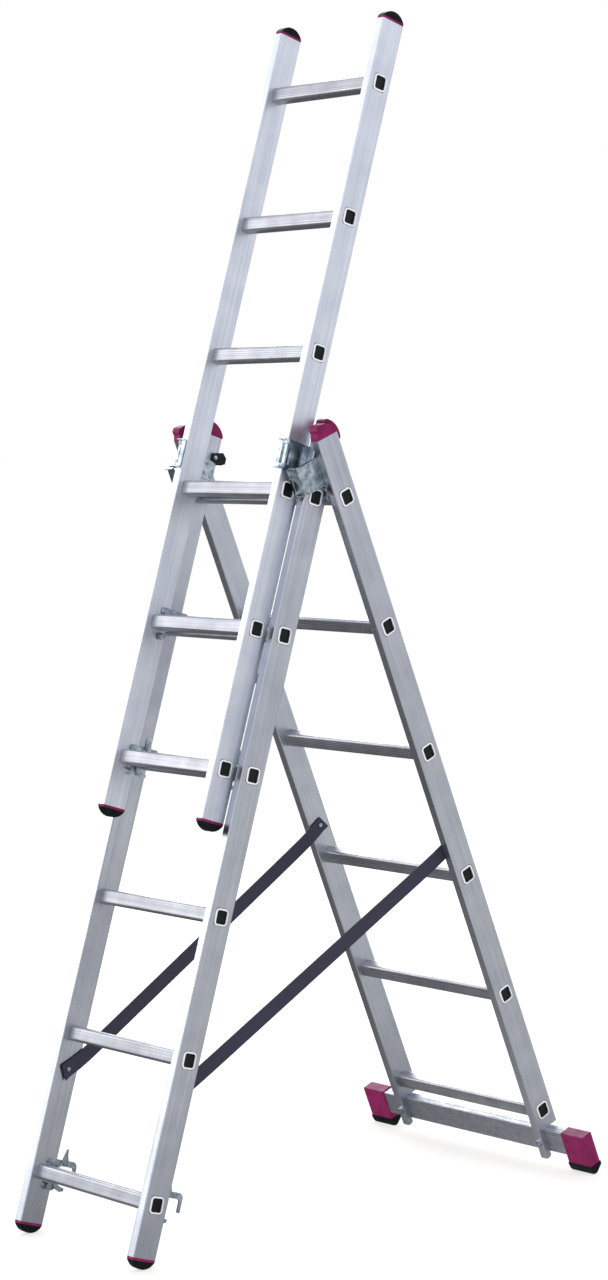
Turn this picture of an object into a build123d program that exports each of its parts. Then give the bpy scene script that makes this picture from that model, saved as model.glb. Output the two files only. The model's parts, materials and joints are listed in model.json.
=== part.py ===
from build123d import *
import math
import os

# Three-section combination ladder, standing as an A-frame with its fly section raised.
# Each section is modelled in its own frame: X across, Y from its front face to its back,
# Z up along the stiles, with the origin in the middle of its lowest rung.

# Sections
rung_count = 6
rung_pitch = 280
fly_half = 168.5          # half of the width over the stiles
middle_half = 195
rear_half = 227
nest_offset = 50          # between the mid-planes of two nested sections
fly_raise = 3 * rung_pitch
front_lean = 19.3         # degrees from upright
rear_lean = 20.1

# Stiles
stile_width = 20
stile_depth = 55
stile_wall = 1.6
stile_edge = 2.2
stile_below = 103         # below the lowest rung
stile_above = 128         # above the highest rung

# Rungs
rung_depth = 28
rung_height = 30
rung_corner = 6
rung_wall = 1.5
rung_turn = 2             # degrees, towards a level tread on the front sections
groove_width = 1.3
groove_deep = 0.5
bead_lip = 1.8            # flared end on the stile's outer face
bead_proud = 2
hole_gap = 0.15

# Plastic ends
band_height = 5
dome_height = 16
plug_gap = 0.3
cap_spigot = 14
cap_ribs = (9, 14, 19, 24)    # radii of the curved ribs on a guide cap
rib_width = 2
rib_proud = 1.2

# Guide brackets
plate = 2.5
claw_height = 58
claw_base = 1437          # lower edge above the lowest rung
claw_reach = 79           # from the carrying section's mid-plane to the inside of the lip
claw_back = 22

# Fold hinge, half the nesting offset from both mid-planes
hinge_up = 8              # above the middle section's highest rung
rear_drop = 2.5           # the rear section hangs this much lower than the middle one
hinge_pin = 5
eye_radius = 8
pin_gap = 0.05

# Stabiliser
beam_height = 52
beam_depth = 23
beam_wall = 2
beam_front = 14
beam_top = -40.5
beam_half = 339
foot_width = 66
foot_top = -38
foot_base = -108
foot_wall = 2.5
sole_lip = 0.8            # sole proud of the foot
sole_back = 7             # sole's height at its back
sole_edge = 6             # level facet that stands on the floor

# Straps
strap_width = 31
strap_thick = 2
strap_play = 0.6          # lets the strap lie at its slight sideways slant
strap_low = 208           # fixing above the middle section's lowest rung
strap_high = 630          # fixing above the rear section's lowest rung

half_depth = stile_depth / 2
top_rung = (rung_count - 1) * rung_pitch
stile_top = top_rung + stile_above
hinge_s = top_rung + hinge_up
rear_hinge_s = hinge_s + rear_drop
hinge_depth = nest_offset / 2

# Round domes under the stiles: an arc over the stile's full depth
dome_radius = (half_depth**2 + dome_height**2) / (2 * dome_height)
dome_centre = -stile_below - band_height - dome_height + dome_radius
lean = math.radians(front_lean)
back = math.radians(rear_lean)
middle_z = dome_radius - dome_centre * math.cos(lean)
hinge_z = middle_z + hinge_s * math.cos(lean) - hinge_depth * math.sin(lean)
hinge_y = hinge_s * math.sin(lean) + hinge_depth * math.cos(lean)
rear_z = hinge_z - rear_hinge_s * math.cos(back) + hinge_depth * math.sin(back)
rear_y = hinge_y + rear_hinge_s * math.sin(back) + hinge_depth * math.cos(back)
foot_front = -beam_front - foot_wall
foot_back = beam_depth - beam_front + foot_wall
front_toe = half_depth * math.cos(lean) + (stile_below + band_height) * math.sin(lean)
rear_heel = rear_y + (foot_back + sole_lip) * math.cos(back) + (sole_back - foot_base) * math.sin(back)

nodes = {}


def box(x0, x1, y0, y1, z0, z1):
    size = (x1 - x0, y1 - y0, z1 - z0)
    return Pos((x0 + x1) / 2, (y0 + y1) / 2, (z0 + z1) / 2) * Box(*size)


def rod_x(radius, x0, x1, y, z):
    return Pos((x0 + x1) / 2, y, z) * Rot(0, 90, 0) * Cylinder(radius, x1 - x0)


def rod_y(radius, y0, y1, x, z):
    return Pos(x, (y0 + y1) / 2, z) * Rot(90, 0, 0) * Cylinder(radius, y1 - y0)


def side_plate(points, x0, x1):
    """Flat outline in Y and Z, extruded from x0 to x1."""
    outline = make_face(Polyline(*points, close=True))
    return extrude(Plane.YZ.offset(x0) * outline, x1 - x0)


def rounded_bar(depth, height, corner, x0, x1):
    outline = RectangleRounded(depth, height, corner)
    return extrude(Plane.YZ.offset(x0) * outline, x1 - x0)


def mirrored(shape):
    return mirror(shape, Plane.YZ)


def pair(shape):
    return [shape, mirrored(shape)]


def stile_tube(half, top, bottom):
    outer = box(half - stile_width, half, -half_depth, half_depth, bottom, top)
    outer = fillet(outer.edges().filter_by(Axis.Z), stile_edge)
    inner = box(half - stile_width + stile_wall, half - stile_wall,
                -half_depth + stile_wall, half_depth - stile_wall, bottom - 1, top + 1)
    tube = outer - inner
    hole = rounded_bar(rung_depth + 2 * hole_gap, rung_height + 2 * hole_gap,
                       rung_corner + hole_gap, half - stile_width - 1, half + 1)
    for i in range(rung_count):
        tube -= Pos(0, 0, i * rung_pitch) * Rot(rung_turn, 0, 0) * hole
    return tube


def rung_tube(half):
    tube = rounded_bar(rung_depth, rung_height, rung_corner, -half, half)
    for z in (-8, -4, 0, 4, 8):
        y = -rung_depth / 2
        tube -= box(-half - 1, half + 1, y - 1, y + groove_deep, z - groove_width / 2, z + groove_width / 2)
    for y in (-6.5, -2.2, 2.2, 6.5):
        z = rung_height / 2
        tube -= box(-half - 1, half + 1, y - groove_width / 2, y + groove_width / 2, z - groove_deep, z + 1)
    bead = rounded_bar(rung_depth + 2 * bead_lip, rung_height + 2 * bead_lip,
                       rung_corner + bead_lip, half, half + bead_proud)
    outer_rim = bead.faces().sort_by(Axis.X)[-1].edges()
    bead = fillet(outer_rim, bead_proud * 0.7)
    tube = tube + bead + mirrored(bead)
    tube -= rounded_bar(rung_depth - 2 * rung_wall, rung_height - 2 * rung_wall,
                        rung_corner - rung_wall, -half - 5, half + 5)
    return Rot(rung_turn, 0, 0) * tube


def rung_plugs(half):
    """Recessed plastic plugs in both ends of every rung."""
    depth = rung_depth - 2 * rung_wall - 0.2
    height = rung_height - 2 * rung_wall - 0.2
    plug = rounded_bar(depth, height, rung_corner - rung_wall, half - 9, half - 3)
    plug = Rot(rung_turn, 0, 0) * plug
    return [Pos(0, 0, i * rung_pitch) * p for i in range(rung_count) for p in pair(plug)]


def end_band(half, edge, way):
    """Band between a stile's end and its dome, with a spigot inside the stile."""
    x0 = half - stile_width
    z = sorted((edge, edge + way * band_height))
    band = box(x0, half, -half_depth, half_depth, z[0], z[1])
    band = fillet(band.edges().filter_by(Axis.Z), stile_edge)
    s = sorted((edge, edge - way * cap_spigot))
    inset = stile_wall + plug_gap
    return band + box(x0 + inset, half - inset, -half_depth + inset, half_depth - inset, s[0], s[1])


def end_dome(half, edge, way):
    """Rubber rocker: an arc over the stile's depth, with softened sides."""
    base = edge + way * band_height
    crown = base + way * dome_height
    arc = ThreePointArc((-half_depth, base), (0, crown), (half_depth, base))
    outline = make_face(arc + Line((half_depth, base), (-half_depth, base)))
    dome = extrude(Plane.YZ.offset(half - stile_width) * outline, stile_width)
    return fillet(dome.edges().filter_by(GeomType.CIRCLE), 2.4)


def guide_cap(half):
    """Cap on a guided stile's top: a hump, notched at its front, with curved ribs."""
    z = stile_top
    f = -half_depth
    nose = Spline((f + 0.5, z), (f + 2.8, z + 7), (f + 5.6, z + 14))
    lobe = Spline((f + 5.6, z + 14), (f + 4.4, z + 19.5), (f + 8.5, z + 25.5), (f + 17, z + 27.5))
    crown = Spline((f + 17, z + 27.5), (f + 28, z + 26.5), (f + 42, z + 20), (f + 55.5, z + 4))
    outline = make_face(nose + lobe + crown + Polyline((f + 55.5, z + 4), (f + 55.5, z), (f + 0.5, z)))
    x0 = half - stile_width
    cap = extrude(Plane.YZ.offset(x0 - 0.5) * outline, stile_width + 1)
    rib_x = x0 - 0.5 - rib_proud
    rib_span = stile_width + 1 + 2 * rib_proud
    ribbed = side_plate([(f + 9, z + 4), (f + 1, z + 30), (f + 36, z + 30)], rib_x, rib_x + rib_span)
    ribbed &= extrude(Plane.YZ.offset(rib_x) * outline, rib_span)
    for radius in cap_ribs:
        ring = extrude(Plane.YZ.offset(rib_x) * (Circle(radius) - Circle(radius - rib_width)), rib_span)
        cap += Pos(0, f + 9, z + 4) * ring & ribbed
    inset = stile_wall + plug_gap
    return cap + box(x0 + inset, half - inset, f + inset, half_depth - inset, z - cap_spigot, z)


def claw(half, tip, flare):
    """Pressed guide bracket on the inner face of a stile, wrapping the section in front."""
    x1 = half - stile_width
    x0 = x1 - plate
    z0 = claw_base
    z1 = claw_base + claw_height
    lip = -claw_reach
    body = box(x0, x1, lip - plate, claw_back, z0, z1)
    body += box(tip, x1, lip - plate, lip, z0, z1)
    corner = body.edges().filter_by(Axis.Z).sort_by_distance((x1, lip - plate, z0))[0]
    body = fillet(corner, 4)
    for z in (z0, z1 - 2):
        body += box(tip, x1 - 4, lip - plate - 6, lip - plate + 0.5, z, z + 2)
        if flare:
            body += box(x1 - 0.5, x1 + flare, lip + 3, -half_depth - 2, z, z + 2)
    return body


def bolt_hex(radius, flats, head, y0, y1, x, z):
    """Bolt along Y with its head at y0 and its nut at y1."""
    body = rod_y(radius, y0, y1, x, z)
    hexagon = extrude(Plane.XZ * RegularPolygon(flats / 2, 6, major_radius=False), head)
    body += Pos(x, y0, z) * hexagon
    return body + Pos(x, y1 + head, z) * hexagon


def rivet(x0, x1, y, z, radius=2.5, head=4.6, dome=2):
    """Rivet along X: a shank from x0 to x1 and a round head at each end."""
    body = rod_x(radius, x0, x1, y, z)
    low = Pos(x0 - dome / 2, y, z) * Rot(0, 90, 0) * Cylinder(head, dome)
    high = Pos(x1 + dome / 2, y, z) * Rot(0, 90, 0) * Cylinder(head, dome)
    low = fillet(low.edges().sort_by(Axis.X)[0], dome * 0.8)
    high = fillet(high.edges().sort_by(Axis.X)[-1], dome * 0.8)
    return body + low + high


def drilled(shape, x0, x1, spots, radius=2.55):
    for y, z in spots:
        shape -= rod_x(radius, x0 - 1, x1 + 1, y, z)
    return shape


def place(section, shape):
    """From a section's own frame to the standing ladder."""
    return Pos(0, shift_y, 0) * frames[section] * shape


def keep(name, section, shapes):
    solids = shapes if isinstance(shapes, list) else [shapes]
    moved = [s for shape in solids for s in place(section, shape).solids()]
    nodes[name] = moved[0] if len(moved) == 1 else Compound(children=moved)


shift_y = (front_toe - rear_heel) / 2
middle_frame = Pos(0, 0, middle_z) * Rot(-front_lean, 0, 0)
frames = {
    "middle": middle_frame,
    "fly": middle_frame * Pos(0, -nest_offset, fly_raise),
    "rear": Pos(0, rear_y, rear_z) * Rot(rear_lean, 0, 0),
}
halves = {"fly": fly_half, "middle": middle_half, "rear": rear_half}

# Rivet spots in Y and Z on the stiles' inner faces
claw_rivets = [(2, claw_base + 12), (17, claw_base + 8)]
lever_pin = (17, claw_base + 48)
rear_claw_rivets = [(-8, claw_base + 10), (12, claw_base + 10), (2, claw_base + 48)]
lug_rivets = [(-2, hinge_s + 24), (13, hinge_s + 26)]
eye_rivets = [(-15, rear_hinge_s + 19), (3, rear_hinge_s + 19)]

# Rung hook: above and behind its own rung, with a leg down behind the rung it hangs on
hook_top = 29
hook_mouth = 16.6
hook_outline = [
    (3, 17.5), (3, hook_top), (76.5, hook_top), (76.5, -9), (70, -9), (70, hook_mouth),
    (33, hook_mouth), (33, -34), (4, -34), (4, -17.8), (17.5, -17.8), (17.5, 17.5),
]
hook_rounds = [
    ((3, 17.5), 5.4), ((3, hook_top), 5.4), ((76.5, hook_top), 11), ((70, hook_mouth), 6),
    ((33, -34), 9), ((4, -34), 8), ((4, -17.8), 6),
]
hook_rivet = (15, 23)
hook_bolt = (14, -25.5)
latch_pin = (44, 23.5)
latch_tabs = {
    "middle": [(37, 19), (35.5, 27), (39, 40), (42, 52), (44.5, 52), (46.5, 40), (51, 27), (50.5, 19)],
    "fly": [(37, 19), (36, 30), (35, 42), (39, 50), (45, 50), (49, 44), (51, 30), (50.5, 19)],
}
latch_tail = [
    (35, 23), (25, 14), (25, -20), (31, -29), (44, -34), (53, -31), (53, -25), (45, -24), (36, -20),
    (31, -14), (31, 14), (42, 23),
]
catch_pin = (11.5, 25)
catch_outline = [
    (7, 19.5), (4, 22), (4, 30), (8, 33), (66, 33), (71.5, 29), (71.5, 9), (66.4, 9), (66.4, 19.5),
]


def stile(section, side_spots, top=stile_top, bottom=-stile_below):
    """One right-hand stile, drilled for what is riveted to its inner and outer faces."""
    half = halves[section]
    tube = stile_tube(half, top, bottom)
    inner, outer = side_spots
    tube = drilled(tube, half - stile_width, half - stile_width + stile_wall, inner)
    return drilled(tube, half - stile_wall, half, outer)


def keep_sides(name, section, shape):
    keep(name + "_right", section, shape)
    keep(name + "_left", section, mirrored(shape))


# Stiles
hook_spots = [hook_rivet, hook_bolt]
catch_spots = [(y, z + rung_pitch) for y, z in (catch_pin, hook_bolt)]
keep_sides("fly_stile", "fly", stile("fly", (hook_spots + catch_spots, [])))
middle_spots = hook_spots + claw_rivets + [lever_pin, (0, strap_low)]
keep_sides("middle_stile", "middle", stile("middle", (middle_spots, lug_rivets)))

strip_base = -104
rear_spots = rear_claw_rivets + eye_rivets + [(0, strap_high)]
rear_stile = stile("rear", (rear_spots, []), bottom=strip_base)
rear_stile -= box(rear_half - 30, rear_half + 5, -beam_front - 0.2, 40, strip_base - 1, beam_top + 0.2)
rear_stile -= side_plate([(-21, strip_base - 1), (0, strip_base - 1), (0, strip_base + 12)],
                         rear_half - 30, rear_half + 5)
bolt_x = rear_half - stile_width / 2
bolt_z = beam_top - beam_height / 2
rear_stile -= rod_y(4.1, -half_depth - 1, 0, bolt_x, bolt_z)
keep_sides("rear_stile", "rear", rear_stile)

# Rungs and their plugs
for section, half in halves.items():
    bar = rung_tube(half)
    for i in range(rung_count):
        keep(f"{section}_rung_{i + 1}", section, Pos(0, 0, i * rung_pitch) * bar)
    keep(f"{section}_rung_plugs", section, rung_plugs(half))

# Round ends of the fly section and feet of the middle section
fly_bands = pair(end_band(fly_half, stile_top, 1)) + pair(end_band(fly_half, -stile_below, -1))
fly_domes = pair(end_dome(fly_half, stile_top, 1)) + pair(end_dome(fly_half, -stile_below, -1))
keep("fly_end_bands", "fly", fly_bands)
keep("fly_end_pads", "fly", fly_domes)
keep("middle_foot_bands", "middle", pair(end_band(middle_half, -stile_below, -1)))
keep("middle_foot_pads", "middle", pair(end_dome(middle_half, -stile_below, -1)))
keep("middle_guide_caps", "middle", pair(guide_cap(middle_half)))
keep("rear_guide_caps", "rear", pair(guide_cap(rear_half)))

# Guide bracket of the middle section, round the fly stile, with a bent liner inside it
claw_top = claw_base + claw_height
lip_y = -claw_reach
rim = 3                   # the liner stands this far inside the bracket's edges
window_rim = 9
fly_claw = claw(middle_half, 150, 0)
fly_claw -= box(160, 180, lip_y - 5, lip_y + 11, claw_base + window_rim, claw_top - window_rim)
fly_claw = drilled(fly_claw, 172, 176, claw_rivets + [lever_pin, (2, claw_base + 30)])
keep("fly_guide_brackets", "middle", pair(fly_claw))
inner_x = middle_half - stile_width - plate
low_edge = claw_base + rim
high_edge = claw_top - rim
liner = box(fly_half + 2.7, inner_x, lip_y, -34, low_edge, high_edge)
liner += box(fly_half + 0.5, inner_x, lip_y, -70, low_edge, high_edge)
liner += box(151, inner_x, lip_y, lip_y + 1.1, low_edge, high_edge)
liner -= box(160, 166, lip_y - 5, lip_y + 5, claw_base + window_rim, claw_top - 15)
liner -= box(160, 180, lip_y + 2, lip_y + 9, claw_base + window_rim, claw_top - 15)
keep("fly_guide_liners", "middle", pair(liner))

# Guide bracket of the rear section, round the middle stile
emboss_inset = 7
emboss_low = claw_base + emboss_inset
emboss_high = claw_top - emboss_inset
middle_claw = claw(rear_half, 184, 5)
middle_claw -= box(206.2, 208, lip_y + 18, -34, emboss_low, emboss_high)
middle_claw += box(203.8, 205, lip_y + 18, -34, emboss_low, emboss_high)
middle_claw = drilled(middle_claw, 204, 208, rear_claw_rivets)
keep("middle_guide_brackets", "rear", pair(middle_claw))
sleeve = box(176.5, 190, lip_y - plate - 1.5, lip_y + 1, low_edge, high_edge)
sleeve -= box(184, 191, lip_y - plate, lip_y, claw_base, claw_top)
sleeve -= box(182, 191, lip_y - plate - 7, lip_y - plate, claw_base, claw_top)
keep("middle_guide_liners", "rear", pair(sleeve))

# Fold hinge: a pin on a lug outside the middle stile, an eye plate inside the rear stile
lug_outline = [(17, 0), (17, 4), (14.5, 10.5), (9, 13.5), (-8, 13.5), (-8, 33), (20, 35), (32, 0)]
lug = side_plate([(y, hinge_s + z) for y, z in lug_outline], middle_half, middle_half + 3)
lug += rod_x(eye_radius, middle_half, middle_half + 3, hinge_depth, hinge_s)
lug += rod_x(hinge_pin, middle_half, rear_half - stile_width - 0.4, hinge_depth, hinge_s)
lug = drilled(lug, middle_half, middle_half + 3, lug_rivets)
keep("hinge_pins", "middle", pair(lug))
eye_x = rear_half - stile_width
eye_outline = [(-33, 0), (-17, 0), (-16.8, 4), (-14, 11), (10, 11), (10, 26), (-24, 26)]
eye = side_plate([(y, rear_hinge_s + z) for y, z in eye_outline], eye_x - 3.5, eye_x)
eye += rod_x(eye_radius, eye_x - 3.5, eye_x, -hinge_depth, rear_hinge_s)
eye -= rod_x(hinge_pin + pin_gap, eye_x - 5, eye_x + 1, -hinge_depth, rear_hinge_s)
eye = drilled(eye, eye_x - 4, eye_x, eye_rivets)
keep("hinge_eyes", "rear", pair(eye))

# Stabiliser beam with its feet
beam = box(-beam_half, beam_half, -beam_front, beam_depth - beam_front, beam_top - beam_height, beam_top)
beam = fillet(beam.edges().filter_by(Axis.X), 2)
beam -= box(-beam_half - 1, beam_half + 1, -beam_front + beam_wall, beam_depth - beam_front - beam_wall,
            beam_top - beam_height + beam_wall, beam_top - beam_wall)
beam -= box(-beam_half - 1, beam_half + 1, -3, -1.5, beam_top - 0.6, beam_top + 1)
for x in (-bolt_x, bolt_x):
    beam -= rod_y(4.1, -beam_front - 1, 20, x, bolt_z)
keep("stabiliser_beam", "rear", beam)
bolt = bolt_hex(4, 13, 5, -half_depth, beam_depth - beam_front, bolt_x, bolt_z)
bolt += rod_y(8, -half_depth - 1, -half_depth, bolt_x, bolt_z)
keep("beam_bolts", "rear", pair(bolt))

foot_x1 = beam_half + 5
foot_x0 = foot_x1 - foot_width
foot = box(foot_x0, foot_x1, foot_front, foot_back, foot_base, foot_top)
foot = fillet(foot.edges().filter_by(Axis.Z) + foot.edges().sort_by(Axis.Z)[-4:], 2)
foot -= box(foot_x0 - 1, beam_half + 0.2, -beam_front - 0.1, beam_depth - beam_front + 0.1,
            beam_top - beam_height - 0.1, beam_top + 0.1)
keep_sides("beam_foot", "rear", foot)


def floor_z(y):
    """Height of the floor in the rear section's frame, at depth y."""
    return -(rear_z + y * math.sin(back)) / math.cos(back)


toe_y = foot_front + 2
sole_outline = [
    (foot_front - sole_lip, foot_base), (foot_front - sole_lip, foot_base - 6),
    (toe_y, floor_z(toe_y)), (toe_y + sole_edge, floor_z(toe_y + sole_edge)),
    (foot_back + sole_lip, foot_base - sole_back), (foot_back + sole_lip, foot_base),
]
sole = side_plate(sole_outline, foot_x0 - sole_lip, foot_x1 + sole_lip)
sole = chamfer(sole.faces().filter_by(Axis.X).edges().filter_by(Axis.X, reverse=True).group_by(Axis.Z)[0], 3)
keep_sides("beam_sole", "rear", sole)

# Rung hooks with their sprung latches
for section in ("fly", "middle"):
    face = halves[section] - stile_width
    hook = side_plate(hook_outline, face - 4, face)
    for corner, radius in hook_rounds:
        hook = fillet(hook.edges().filter_by(Axis.X).sort_by_distance((face - 2, *corner))[0], radius)
    hook = drilled(hook, face - 4, face, [hook_rivet, hook_bolt])
    hook -= rod_x(3.2, face - 5, face + 1, *latch_pin)
    latch = side_plate(latch_tabs[section], face - 8, face - 4.4)
    latch += side_plate(latch_tail, face - 8, face - 4.4)
    latch -= rod_x(3.05, face - 9, face - 3, *latch_pin)
    pin = rod_x(3, face - 8.4, face, *latch_pin) + rod_x(5, face - 10.4, face - 8.4, *latch_pin)
    pin = pin + rod_x(3.2, face - 4, face, *latch_pin)
    keep(f"{section}_rung_hooks", section, pair(hook + pin))
    keep_sides(f"{section}_latch", section, latch)

# Swinging safety catches over the fly section's second rung
catch_x = fly_half - stile_width
catch = side_plate(catch_outline, catch_x - 5, catch_x - 1.2)
catch -= rod_x(3.55, catch_x - 6, catch_x, *catch_pin)
keep_sides("fly_catch", "fly", Pos(0, 0, rung_pitch) * catch)

# Locking levers behind the middle stiles
lever_y, lever_z = lever_pin
lever_face = middle_half - stile_width - plate
cheek_outline = [(-8, -7), (-8, 7), (0, 10), (17, 15), (28, 6), (28, -6), (17, -12), (0, -9)]
pad_outline = [(16, -11.5), (13.5, 0), (15, 13.5), (17, 15), (24, 10.5), (28, 6), (28, -6), (24, -9)]
cheek = side_plate([(lever_y + y, lever_z + z) for y, z in cheek_outline], lever_face - 3.3, lever_face - 0.3)
pad = side_plate([(lever_y + y, lever_z + z) for y, z in pad_outline], lever_face - 0.3, middle_half - 3)
lever = cheek + pad
lever -= rod_x(2.55, lever_face - 5, lever_face + 1, *lever_pin)
keep_sides("lock_lever", "middle", lever)

# Rivets, grouped by the section that carries them
middle_face = middle_half - stile_width
rear_face = rear_half - stile_width
fly_face = fly_half - stile_width


def rivets(spots, x0, x1):
    return [r for y, z in spots for r in pair(rivet(x0, x1, y, z))]


def hook_fixings(face):
    """Rivet above the rung and hexagon bolt below it."""
    nut = extrude(Plane.YZ * RegularPolygon(6, 6, major_radius=False), 6)
    bolt = rod_x(2.5, face - 4, face + stile_wall, *hook_bolt)
    bolt += rod_x(5, face + stile_wall, face + stile_wall + 3, *hook_bolt)
    bolt += Pos(face - 11.5, *hook_bolt) * nut
    bolt += rod_x(7.5, face - 5.5, face - 4, *hook_bolt)
    return rivets([hook_rivet], face - 4, face + stile_wall) + pair(bolt)


catch_bolt = Pos(0, 0, rung_pitch) * hook_fixings(fly_face)[2]
catch_pivot = rod_x(3.5, catch_x - 5.4, catch_x, 0, 0) + rod_x(5.5, catch_x - 7.4, catch_x - 5.4, 0, 0)
catch_pivot += rod_x(2.5, catch_x, catch_x + stile_wall, 0, 0)
catch_pivot += rod_x(5, catch_x + stile_wall, catch_x + stile_wall + 2, 0, 0)
catch_pivot = Pos(0, catch_pin[0], catch_pin[1] + rung_pitch) * catch_pivot
keep("fly_fixings", "fly", hook_fixings(fly_face) + pair(catch_bolt) + pair(catch_pivot))

strap_pad = 3
strap_x = middle_face - strap_pad - strap_thick
middle_fix = hook_fixings(middle_face) + rivets(claw_rivets, middle_face - plate, middle_face + stile_wall)
middle_fix += rivets([lever_pin], lever_face - 3.4, middle_face + stile_wall)
middle_fix += rivets(lug_rivets, middle_half - stile_wall, middle_half + 3)
middle_fix += rivets([(0, strap_low)], strap_x - strap_play, middle_face + stile_wall)
middle_fix += pair(rod_x(8, middle_face - strap_pad + strap_play, middle_face, 0, strap_low)
                   - rod_x(2.6, 0, middle_half, 0, strap_low))
keep("middle_fixings", "middle", middle_fix)
rear_strap_x = rear_face - strap_play - 0.4
rear_fix = rivets(rear_claw_rivets, rear_face - plate, rear_face + stile_wall)
rear_fix += rivets(eye_rivets, rear_face - 3.5, rear_face + stile_wall)
rear_fix += rivets([(0, strap_high)], rear_strap_x - strap_thick - strap_play, rear_face + stile_wall)
keep("rear_fixings", "rear", rear_fix)

# Straps, from the middle section's inner faces to the rear section's
low_end = (frames["middle"] * Pos(strap_x + strap_thick / 2, 0, strap_low)).position
high_end = (frames["rear"] * Pos(rear_strap_x - strap_thick / 2, 0, strap_high)).position
run = high_end - low_end
strap_plane = Plane(origin=(low_end + high_end) / 2, x_dir=run, z_dir=run.cross(Vector(0, -run.Z, run.Y)))
band = RectangleRounded(run.length + 36, strap_width, 5)
band -= Pos(run.length / 2, 0) * Circle(2.7) + Pos(-run.length / 2, 0) * Circle(2.7)
strap = extrude(strap_plane * band, strap_thick / 2, both=True)
nodes["strap_right"] = Pos(0, shift_y, 0) * strap
nodes["strap_left"] = mirrored(nodes["strap_right"])

os.makedirs("parts", exist_ok=True)
for name, shape in nodes.items():
    export_step(shape, f"parts/{name}.step")
print(len(nodes), "nodes; hinge at", round(hinge_y + shift_y, 2), round(hinge_z, 2))
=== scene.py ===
import bpy
import bmesh
import json
import math
from mathutils import Matrix, Vector


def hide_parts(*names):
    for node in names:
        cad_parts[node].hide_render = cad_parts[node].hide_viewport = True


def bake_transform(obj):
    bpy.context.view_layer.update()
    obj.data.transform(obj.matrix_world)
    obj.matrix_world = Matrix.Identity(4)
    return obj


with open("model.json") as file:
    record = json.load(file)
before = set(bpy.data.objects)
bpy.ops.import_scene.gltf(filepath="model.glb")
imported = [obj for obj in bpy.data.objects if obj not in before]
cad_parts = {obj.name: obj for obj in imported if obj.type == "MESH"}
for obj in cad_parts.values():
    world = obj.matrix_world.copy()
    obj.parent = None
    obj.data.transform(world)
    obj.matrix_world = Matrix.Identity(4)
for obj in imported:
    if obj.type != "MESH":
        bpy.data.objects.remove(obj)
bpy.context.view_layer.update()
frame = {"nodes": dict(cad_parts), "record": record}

nodes = frame["nodes"]
scene = bpy.context.scene

# how far each section leans, and where the middle of its lowest rung is
sections = {
    "middle": {"lean": math.radians(-19.3), "start": Vector((0, -0.493295, 0.118809)), "half": 0.195},
    "rear": {"lean": math.radians(20.1), "start": Vector((0, 0.503874, 0.123417)), "half": 0.227},
}
flyOffset = Vector((0, -0.050, 0.840))    # the fly section rides in front of the middle one


def inSection(name, point):
    section = sections[name]
    return section["start"] + Matrix.Rotation(section["lean"], 3, "X") @ Vector(point)


sections["fly"] = {
    "lean": sections["middle"]["lean"], "start": inSection("middle", flyOffset), "half": 0.1685,
}


# materials

def linear(hexColour):
    parts = [int(hexColour[i:i + 2], 16) / 255 for i in (1, 3, 5)]
    return [v / 12.92 if v <= 0.04045 else ((v + 0.055) / 1.055) ** 2.4 for v in parts] + [1]


def addNode(tree, kind, inputs=None, **settings):
    node = tree.nodes.new("ShaderNode" + kind)
    for key, value in settings.items():
        setattr(node, key, value)
    for key, value in (inputs or {}).items():
        if isinstance(value, bpy.types.NodeSocket):
            tree.links.new(value, node.inputs[key])
        else:
            node.inputs[key].default_value = value
    return node


def newMaterial(name):
    material = bpy.data.materials.new(name)
    material.use_nodes = True
    material.node_tree.nodes.clear()
    return material


def finishMaterial(material, shader):
    tree = material.node_tree
    addNode(tree, "OutputMaterial", {"Surface": shader.outputs[0]})
    return material


def sectionCoordinates(tree, name):
    # across, front to back and along the stiles, in metres
    objectSpace = addNode(tree, "TexCoord").outputs["Object"]
    section = sections[name]
    return addNode(tree, "Mapping", {
        "Vector": objectSpace,
        "Location": section["start"],
        "Rotation": (section["lean"], 0, 0),
    }, vector_type="TEXTURE").outputs[0]


def mmScale(x, y, z):
    # so many pattern steps a metre, from a step in mm along each axis
    return (1000 / x, 1000 / y, 1000 / z)


profileLook = {
    "light": "#d9dce2", "dark": "#b4b8c1", "roughness": (0.22, 0.38),
    "lineMm": 1.8, "lineRunMm": 420, "cloudMm": 70, "scuffMm": 5, "lineDepth": 0.12,
    # stiles take the under setting: a painted shadow on the stile round each rung's rim
    "rim": "under",
}
brightProfileLook = profileLook | {"light": "#f3f5fa", "dark": "#d6dae4", "roughness": (0.34, 0.5)}
# rungs take the rolled rim setting: a painted highlight on each rung's rolled end
rungLook = profileLook | {"light": "#c2c3c7", "dark": "#a2a3a8", "roughness": (0.30, 0.46), "cloudMm": 40,
                          "lineDepth": 0.05, "rim": "rolled"}


# the rolled rim that a rung shows on a stile's outer face, painted as a highlight, and the painted shadow in
# the narrow gap round it
rolledRim = {
    "pitch": 0.280, "halfDepth": 0.0158, "halfHeight": 0.0168, "corner": 0.006,
    "touch": 0.0002, "gapShadow": 0.0013,
    # the white is a painted highlight on the rim, and the burnish setting takes metal out of it; the dark
    # colour and its shade strength are a painted shadow in the gap round the rim
    "highlightWhite": "#ffffff", "dark": "#1c1e22", "shadowStrength": 0.72, "highlightBurnish": 0.55,
}


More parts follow.
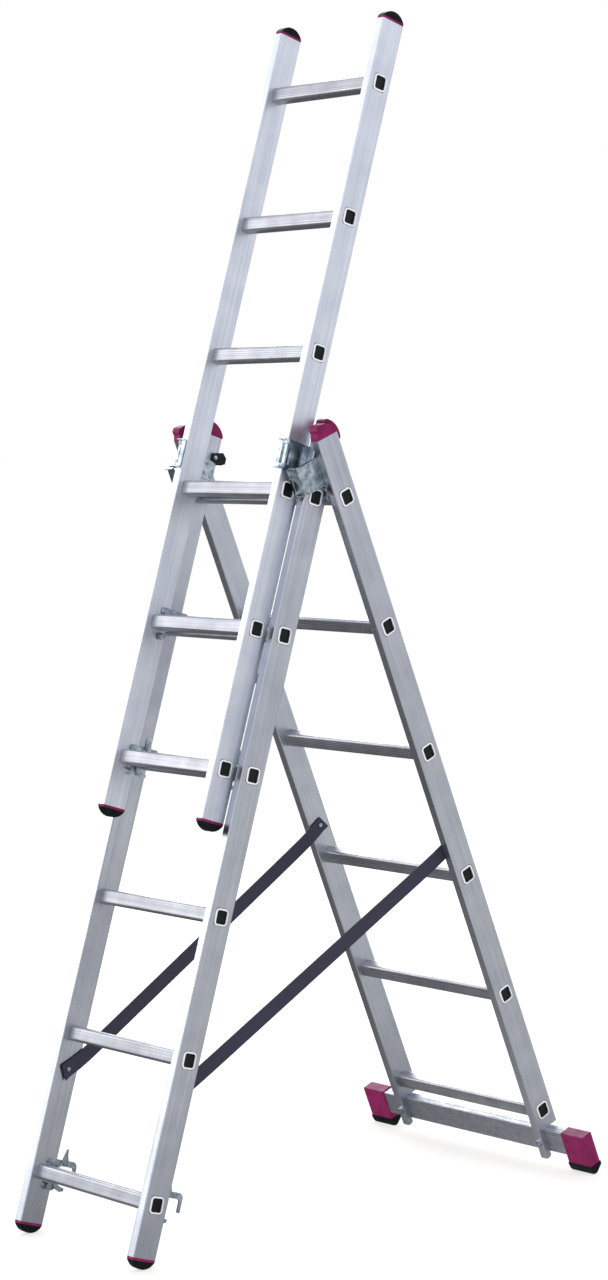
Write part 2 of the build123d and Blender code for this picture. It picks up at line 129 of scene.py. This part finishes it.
def aroundRim(tree, place):
    # how far outside a rim's rounded outline a point of the stile's side lies
    parts = addNode(tree, "SeparateXYZ", {0: place}).outputs
    step = rolledRim["pitch"]
    up = addNode(tree, "Math", {0: parts[2], 1: step / 2, 2: -step / 2}, operation="WRAP").outputs[0]
    corner = rolledRim["corner"]
    legs = []
    for value, half in ((parts[1], rolledRim["halfDepth"]), (up, rolledRim["halfHeight"])):
        size = addNode(tree, "Math", {0: value}, operation="ABSOLUTE").outputs[0]
        beyond = addNode(tree, "Math", {0: size, 1: half - corner}, operation="SUBTRACT").outputs[0]
        legs.append(addNode(tree, "Math", {0: beyond, 1: 0}, operation="MAXIMUM").outputs[0])
    both = addNode(tree, "CombineXYZ", {0: legs[0], 1: legs[1]}).outputs[0]
    reach = addNode(tree, "VectorMath", {0: both}, operation="LENGTH").outputs["Value"]
    return addNode(tree, "Math", {0: reach, 1: corner}, operation="SUBTRACT").outputs[0]


def pastSide(tree, place, sectionName, inset):
    # 1 outside the stiles' outer faces, or outside a plane inset from them
    across = addNode(tree, "SeparateXYZ", {0: place}).outputs[0]
    size = addNode(tree, "Math", {0: across}, operation="ABSOLUTE").outputs[0]
    edge = sections[sectionName]["half"] - inset
    return addNode(tree, "Math", {0: size, 1: edge}, operation="GREATER_THAN").outputs[0]


# Mill-finish extruded aluminium: pale, with fine die lines along its length and soft clouds of handling; on
# the rungs a painted highlight on the rolled rims, on the stiles a painted shadow round them
def extrudedAluminium(name, sectionName, alongRungs=False, look=profileLook):
    material = newMaterial(name)
    tree = material.node_tree
    place = sectionCoordinates(tree, sectionName)
    step, run = look["lineMm"], look["lineRunMm"]
    lineScale = mmScale(run, step, step) if alongRungs else mmScale(step, step, run)
    lineSpace = addNode(tree, "Mapping", {"Vector": place, "Scale": lineScale}).outputs[0]
    lines = addNode(tree, "TexNoise", {
        "Vector": lineSpace, "Scale": 1, "Detail": 3, "Roughness": 0.6}).outputs[0]
    clouds = addNode(tree, "TexNoise", {
        "Vector": place, "Scale": 1000 / look["cloudMm"], "Detail": 4}).outputs[0]
    scuffSpace = addNode(tree, "Mapping", {
        "Vector": place, "Scale": mmScale(look["scuffMm"], look["scuffMm"], look["scuffMm"] * 5),
        "Rotation": (0.5, 0.3, 0.2)}).outputs[0]
    scuffs = addNode(tree, "TexNoise", {
        "Vector": scuffSpace, "Scale": 1, "Detail": 6, "Roughness": 0.7}).outputs[0]
    scuffMask = addNode(tree, "MapRange", {0: scuffs, 1: 0.60, 2: 0.75, 3: 0, 4: 1}).outputs[0]
    blendLines = addNode(tree, "Mix", {0: 0.35, 2: lines, 3: clouds}).outputs[0]
    tone = addNode(tree, "MapRange", {0: blendLines, 1: 0.35, 2: 0.65, 3: 0, 4: 1}).outputs[0]
    paint = addNode(tree, "Mix", {0: tone, 6: linear(look["dark"]), 7: linear(look["light"])},
                    data_type="RGBA").outputs[2]
    low, high = look["roughness"]
    rough = addNode(tree, "MapRange", {0: blendLines, 1: 0.3, 2: 0.7, 3: high, 4: low}).outputs[0]
    scuffed = addNode(tree, "Math", {0: scuffMask, 1: 0.12, 2: rough}, operation="MULTIPLY_ADD").outputs[0]
    bump = addNode(tree, "Bump", {
        "Height": lines, "Strength": look["lineDepth"], "Distance": 0.0004}).outputs[0]
    metal = 1.0
    if look["rim"] == "rolled":
        # a rung's rolled end is painted nearly white, partly burnish and mostly a painted highlight, with
        # less metal in it
        rim = pastSide(tree, place, sectionName, -0.0001)
        paint = addNode(tree, "Mix", {0: rim, 6: paint, 7: linear(rolledRim["highlightWhite"])},
                        data_type="RGBA").outputs[2]
        metal = addNode(tree, "Math", {0: rim, 1: -rolledRim["highlightBurnish"], 2: 1},
                        operation="MULTIPLY_ADD").outputs[0]
    if look["rim"] == "under":
        # painted shadow: the stile is painted dark in the narrow gap under the rim
        away = aroundRim(tree, place)
        shadowFalloff = addNode(tree, "MapRange", {
            0: away, 1: rolledRim["touch"], 2: rolledRim["gapShadow"], 3: rolledRim["shadowStrength"], 4: 0}).outputs[0]
        outside = pastSide(tree, place, sectionName, 0.001)
        gapShadow = addNode(tree, "Math", {0: shadowFalloff, 1: outside}, operation="MULTIPLY").outputs[0]
        paint = addNode(tree, "Mix", {0: gapShadow, 6: paint, 7: linear(rolledRim["dark"])},
                        data_type="RGBA").outputs[2]
    shader = addNode(tree, "BsdfPrincipled", {
        "Base Color": paint, "Metallic": metal, "Roughness": scuffed, "Normal": bump})
    return finishMaterial(material, shader)


beamLook = profileLook | {
    "light": "#ccced4", "dark": "#a0a3ab", "roughness": (0.42, 0.6),
    "lineMm": 1.2, "lineRunMm": 30, "cloudMm": 12, "lineDepth": 0.06, "rim": None,
}
zincLook = {"light": "#d2dce2", "dark": "#7d8c94", "roughness": (0.14, 0.34), "cloudMm": 14, "grainMm": 0.8}


# Zinc-plated pressed steel: blue-grey, with uneven clouds where the plating took differently
def zincPlatedSteel(name, look=zincLook):
    material = newMaterial(name)
    tree = material.node_tree
    place = addNode(tree, "TexCoord").outputs["Object"]
    clouds = addNode(tree, "TexNoise", {"Vector": place, "Scale": 1000 / look["cloudMm"], "Detail": 4,
                                        "Roughness": 0.55}).outputs[0]
    grain = addNode(tree, "TexNoise", {
        "Vector": place, "Scale": 1000 / look["grainMm"], "Detail": 2}).outputs[0]
    both = addNode(tree, "Mix", {0: 0.3, 2: clouds, 3: grain}).outputs[0]
    tone = addNode(tree, "MapRange", {0: both, 1: 0.38, 2: 0.62, 3: 0, 4: 1}).outputs[0]
    paint = addNode(tree, "Mix", {0: tone, 6: linear(look["dark"]), 7: linear(look["light"])},
                    data_type="RGBA").outputs[2]
    low, high = look["roughness"]
    rough = addNode(tree, "MapRange", {0: both, 1: 0.35, 2: 0.65, 3: high, 4: low}).outputs[0]
    bump = addNode(tree, "Bump", {"Height": grain, "Strength": 0.08, "Distance": 0.0002}).outputs[0]
    shader = addNode(tree, "BsdfPrincipled", {
        "Base Color": paint, "Metallic": 1.0, "Roughness": rough, "Normal": bump})
    return finishMaterial(material, shader)


mouldedLooks = {
    "magenta": {"light": "#8c1258", "dark": "#730a45", "roughness": (0.36, 0.5), "grainMm": 0.6, "flowMm": 25,
                "gloss": 0.2},
    "black": {"light": "#131917", "dark": "#080d0c", "roughness": (0.34, 0.52), "grainMm": 0.5, "flowMm": 20,
              "gloss": 0.25},
    "rubber": {"light": "#101b19", "dark": "#060c0c", "roughness": (0.42, 0.6), "grainMm": 0.9, "flowMm": 18,
               "gloss": 0.12},
}


# Moulded polypropylene or rubber: a fine spark-eroded grain, and faint flow shading from the mould
def mouldedPlastic(name, look):
    material = newMaterial(name)
    tree = material.node_tree
    place = addNode(tree, "TexCoord").outputs["Object"]
    flow = addNode(tree, "TexNoise", {
        "Vector": place, "Scale": 1000 / look["flowMm"], "Detail": 3}).outputs[0]
    grain = addNode(tree, "TexNoise", {
        "Vector": place, "Scale": 1000 / look["grainMm"], "Detail": 2}).outputs[0]
    tone = addNode(tree, "MapRange", {0: flow, 1: 0.3, 2: 0.7, 3: 0, 4: 1}).outputs[0]
    paint = addNode(tree, "Mix", {0: tone, 6: linear(look["dark"]), 7: linear(look["light"])},
                    data_type="RGBA").outputs[2]
    low, high = look["roughness"]
    rough = addNode(tree, "MapRange", {0: flow, 1: 0.3, 2: 0.7, 3: high, 4: low}).outputs[0]
    bump = addNode(tree, "Bump", {"Height": grain, "Strength": 0.25, "Distance": 0.0002}).outputs[0]
    shader = addNode(tree, "BsdfPrincipled", {
        "Base Color": paint, "Roughness": rough, "IOR": 1.49, "Specular IOR Level": look["gloss"],
        "Normal": bump})
    return finishMaterial(material, shader)


materials = {
    "zinc_steel": zincPlatedSteel("zincPlatedSteel"),
    "magenta_plastic": mouldedPlastic("mouldedPolypropyleneMagenta", mouldedLooks["magenta"]),
    "black_plastic": mouldedPlastic("mouldedPolypropyleneBlack", mouldedLooks["black"]),
    "black_rubber": mouldedPlastic("mouldedRubberBlack", mouldedLooks["rubber"]),
    "aluminium_beam": extrudedAluminium("extrudedAluminiumBeam", "rear", True, beamLook),
}
for name in sections:
    stileLook = brightProfileLook if name == "fly" else profileLook
    materials["aluminium_profile", name] = extrudedAluminium(
        "extrudedAluminiumStile_" + name, name, False, stileLook)
    materials["aluminium_rung", name] = extrudedAluminium(
        "extrudedAluminiumRung_" + name, name, True, rungLook)

slotOf = {part["node"]: part["material_slot"] for part in frame["record"]["subparts"]}
for node, obj in nodes.items():
    slotName = slotOf[node]
    material = materials.get(slotName) or materials.get((slotName, node.split("_")[0]))
    if material:
        for place in obj.material_slots:
            place.material = material
print("materials on", len(nodes), "nodes")


# straps

strapLook = {
    "width": 0.031, "thickness": 0.0016, "overhang": 0.018, "rows": 120, "columns": 8,
    "low": (0.171, 0, 0.208), "high": (0.205, 0, 0.630), "droop": 0.0055, "bend": 0.055,
    "cutBack": 0.010, "cutRun": 0.02,
    "light": "#35314a", "dark": "#1c1928", "ribMm": 1.6, "pickMm": 2.2,
}


# Woven polyester webbing: navy, with slanting ribs that meet along the middle and tight edges
def polyesterWebbing(name, look=strapLook):
    material = newMaterial(name)
    tree = material.node_tree
    flat = addNode(tree, "UVMap", uv_map="flat").outputs[0]     # metres across and along the strap
    parts = addNode(tree, "SeparateXYZ", {0: flat})
    across = addNode(tree, "Math", {0: parts.outputs[0]}, operation="ABSOLUTE").outputs[0]
    slant = addNode(tree, "Math", {0: parts.outputs[1], 1: across}, operation="ADD").outputs[0]
    turns = 2 * math.pi * 1000 / look["pickMm"]
    ribTurn = addNode(tree, "Math", {0: slant, 1: turns}, operation="MULTIPLY").outputs[0]
    rib = addNode(tree, "Math", {0: ribTurn}, operation="SINE").outputs[0]
    cords = 2 * math.pi * 1000 / look["ribMm"]
    warpTurn = addNode(tree, "Math", {0: across, 1: cords}, operation="MULTIPLY").outputs[0]
    warp = addNode(tree, "Math", {0: warpTurn}, operation="SINE").outputs[0]
    weave = addNode(tree, "Math", {0: rib, 1: 0.6, 2: warp}, operation="MULTIPLY_ADD").outputs[0]
    fuzz = addNode(tree, "TexNoise", {"Vector": addNode(tree, "TexCoord").outputs["Object"], "Scale": 900,
                                      "Detail": 2}).outputs[0]
    height = addNode(tree, "Math", {0: weave, 1: 0.5, 2: fuzz}, operation="MULTIPLY_ADD").outputs[0]
    tone = addNode(tree, "MapRange", {0: height, 1: -0.3, 2: 1.3, 3: 0, 4: 1}).outputs[0]
    paint = addNode(tree, "Mix", {0: tone, 6: linear(look["dark"]), 7: linear(look["light"])},
                    data_type="RGBA").outputs[2]
    bump = addNode(tree, "Bump", {"Height": height, "Strength": 0.5, "Distance": 0.0003}).outputs[0]
    shader = addNode(tree, "BsdfPrincipled", {
        "Base Color": paint, "Roughness": 0.78, "Sheen Weight": 0.25, "Sheen Roughness": 0.4, "Normal": bump})
    return finishMaterial(material, shader)


def makeStrap(side, sign, webbing, look=strapLook):
    low = inSection("middle", look["low"])
    high = inSection("rear", look["high"])
    along = (high - low).normalized()
    outward = along.cross(Vector((0, -along.z, along.y))).normalized()
    if outward.x < 0:
        outward = -outward
    across = outward.cross(along)
    length = (high - low).length + 2 * look["overhang"]
    downSign = -1 if across.z > 0 else 1
    mesh = bpy.data.meshes.new("strap_webbing_" + side)
    bm = bmesh.new()
    bmesh.ops.create_grid(bm, x_segments=look["columns"], y_segments=look["rows"], size=0.5)
    uvLayer = bm.loops.layers.uv.new("flat")
    half = look["width"] / 2
    for vert in bm.verts:
        u = vert.co.x * look["width"]
        v = vert.co.y * length
        fromEnd = length / 2 - abs(v)
        cut = look["cutBack"] * (0.5 + u / look["width"])    # the ends are cut at a slant
        vert.co = Vector((u, v - math.copysign(cut, v) * max(0, 1 - fromEnd / look["cutRun"]), 0))
    for face in bm.faces:
        for loop in face.loops:
            loop[uvLayer].uv = (loop.vert.co.x, loop.vert.co.y)
    # the webbing hangs a little below the line between its rivets, and bends back up to each of them
    for vert in bm.verts:
        inside = max(0, (high - low).length / 2 - abs(vert.co.y))
        vert.co.x += look["droop"] * (1 - math.exp(-inside / look["bend"] * 2)) * downSign
    middle = (low + high) / 2
    basis = Matrix((across, along, outward)).transposed().to_4x4()
    basis.translation = middle
    bm.transform(basis)
    if sign < 0:
        bmesh.ops.scale(bm, vec=(-1, 1, 1), verts=bm.verts)
    bmesh.ops.recalc_face_normals(bm, faces=bm.faces)
    bm.to_mesh(mesh)
    bm.free()
    mesh.materials.append(webbing)
    strap = bpy.data.objects.new("strap_webbing_" + side, mesh)
    scene.collection.objects.link(strap)
    solid = strap.modifiers.new("thickness", "SOLIDIFY")
    solid.thickness = look["thickness"]
    solid.offset = 0
    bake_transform(strap)
    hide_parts("strap_" + side)
    return strap


webbing = polyesterWebbing("wovenPolyesterWebbing")
for side, sign in (("right", 1), ("left", -1)):
    makeStrap(side, sign, webbing)
print("straps")


# studio

def makeFloor(name, z, size, shader, camera):
    mesh = bpy.data.meshes.new(name)
    bm = bmesh.new()
    bmesh.ops.create_grid(bm, x_segments=1, y_segments=1, size=size)
    bmesh.ops.translate(bm, vec=(0, 0, z), verts=bm.verts)
    bm.to_mesh(mesh)
    bm.free()
    material = newMaterial(name)
    mesh.materials.append(finishMaterial(material, addNode(material.node_tree, "BsdfPrincipled", shader)))
    floor = bpy.data.objects.new(name, mesh)
    scene.collection.objects.link(floor)
    floor.visible_camera = camera
    floor.visible_diffuse = camera
    floor.visible_glossy = not camera
    floor.visible_shadow = False


floors = {
    "size": 40, "paleAt": -0.0005, "mirroredAt": -0.002,
    "pale": "#b4b4b4", "paleGlow": "#fffcf6", "paleStrength": 0.64,
    "mirroredGlow": "#f4f5f8", "across": (-0.6, 1.0), "strength": (0.16, 0.68),
}

# the pale floor is what shows
makeFloor("paleFloor", floors["paleAt"], floors["size"], {
    "Base Color": linear(floors["pale"]), "Roughness": 0.95, "Specular IOR Level": 0.0,
    "Emission Color": linear(floors["paleGlow"]), "Emission Strength": floors["paleStrength"]}, True)
# the metal mirrors a greyer floor just under it, darker towards -X and lighter towards +X
makeFloor("mirroredFloor", floors["mirroredAt"], floors["size"], {
    "Base Color": (0, 0, 0, 1), "Roughness": 1.0, "Specular IOR Level": 0.0,
    "Emission Color": linear(floors["mirroredGlow"])}, False)
tree = bpy.data.materials["mirroredFloor"].node_tree
sideways = addNode(tree, "SeparateXYZ", {0: addNode(tree, "TexCoord").outputs["Object"]}).outputs[0]
glow = addNode(tree, "MapRange", {
    0: sideways, 1: floors["across"][0], 2: floors["across"][1],
    3: floors["strength"][0], 4: floors["strength"][1]}).outputs[0]
tree.links.new(glow, tree.nodes["Principled BSDF"].inputs["Emission Strength"])

world = bpy.data.worlds.new("studio")
scene.world = world
world.use_nodes = True
world.node_tree.nodes.clear()
seen = addNode(world.node_tree, "LightPath").outputs["Is Camera Ray"]
around = addNode(world.node_tree, "Background", {"Color": linear("#e9edf6"), "Strength": 1.0})
backdrop = addNode(world.node_tree, "Background", {"Color": (1, 1, 1, 1), "Strength": 1.0})
both = addNode(world.node_tree, "MixShader", {0: seen, 1: around.outputs[0], 2: backdrop.outputs[0]})
addNode(world.node_tree, "OutputWorld", {"Surface": both.outputs[0]})

lights = {
    "keyLeft": {"at": (-4.6, -3.2, 2.8), "size": (5.0, 4.0), "power": 84},
    "overhead": {"at": (-3.5, 2.3, 3.5), "size": (4.0, 3.2), "power": 140},
}
target = Vector((0, 0, 1.1))
for name, light in lights.items():
    data = bpy.data.lights.new(name, "AREA")
    data.shape = "RECTANGLE"
    data.size, data.size_y = light["size"]
    data.energy = light["power"]
    lamp = bpy.data.objects.new(name, data)
    lamp.location = light["at"]
    lamp.rotation_euler = (target - lamp.location).to_track_quat("-Z", "Y").to_euler()
    scene.collection.objects.link(lamp)

view = {
    "at": (4.8976, -4.0205, 1.7249), "yaw": math.radians(50.066), "pitch": math.radians(-5.525),
    "roll": math.radians(-2.183), "lens": 88.62, "shift": (0.0026, 0.0129),
}
forward = Vector((-math.sin(view["yaw"]) * math.cos(view["pitch"]),
                  math.cos(view["yaw"]) * math.cos(view["pitch"]), math.sin(view["pitch"])))
right = Vector((math.cos(view["yaw"]), math.sin(view["yaw"]), 0))
up = right.cross(forward)
c, s = math.cos(view["roll"]), math.sin(view["roll"])
cameraRight = c * right + s * up
cameraUp = c * up - s * right
pose = Matrix((cameraRight, cameraUp, -forward)).transposed().to_4x4()
pose.translation = view["at"]
cameraData = bpy.data.cameras.new("camera")
cameraData.lens = view["lens"]
cameraData.sensor_width = 36
cameraData.shift_x, cameraData.shift_y = view["shift"]
camera = bpy.data.objects.new("camera", cameraData)
camera.matrix_world = pose
scene.collection.objects.link(camera)
scene.camera = camera
scene.view_settings.view_transform = "Standard"
print("studio")
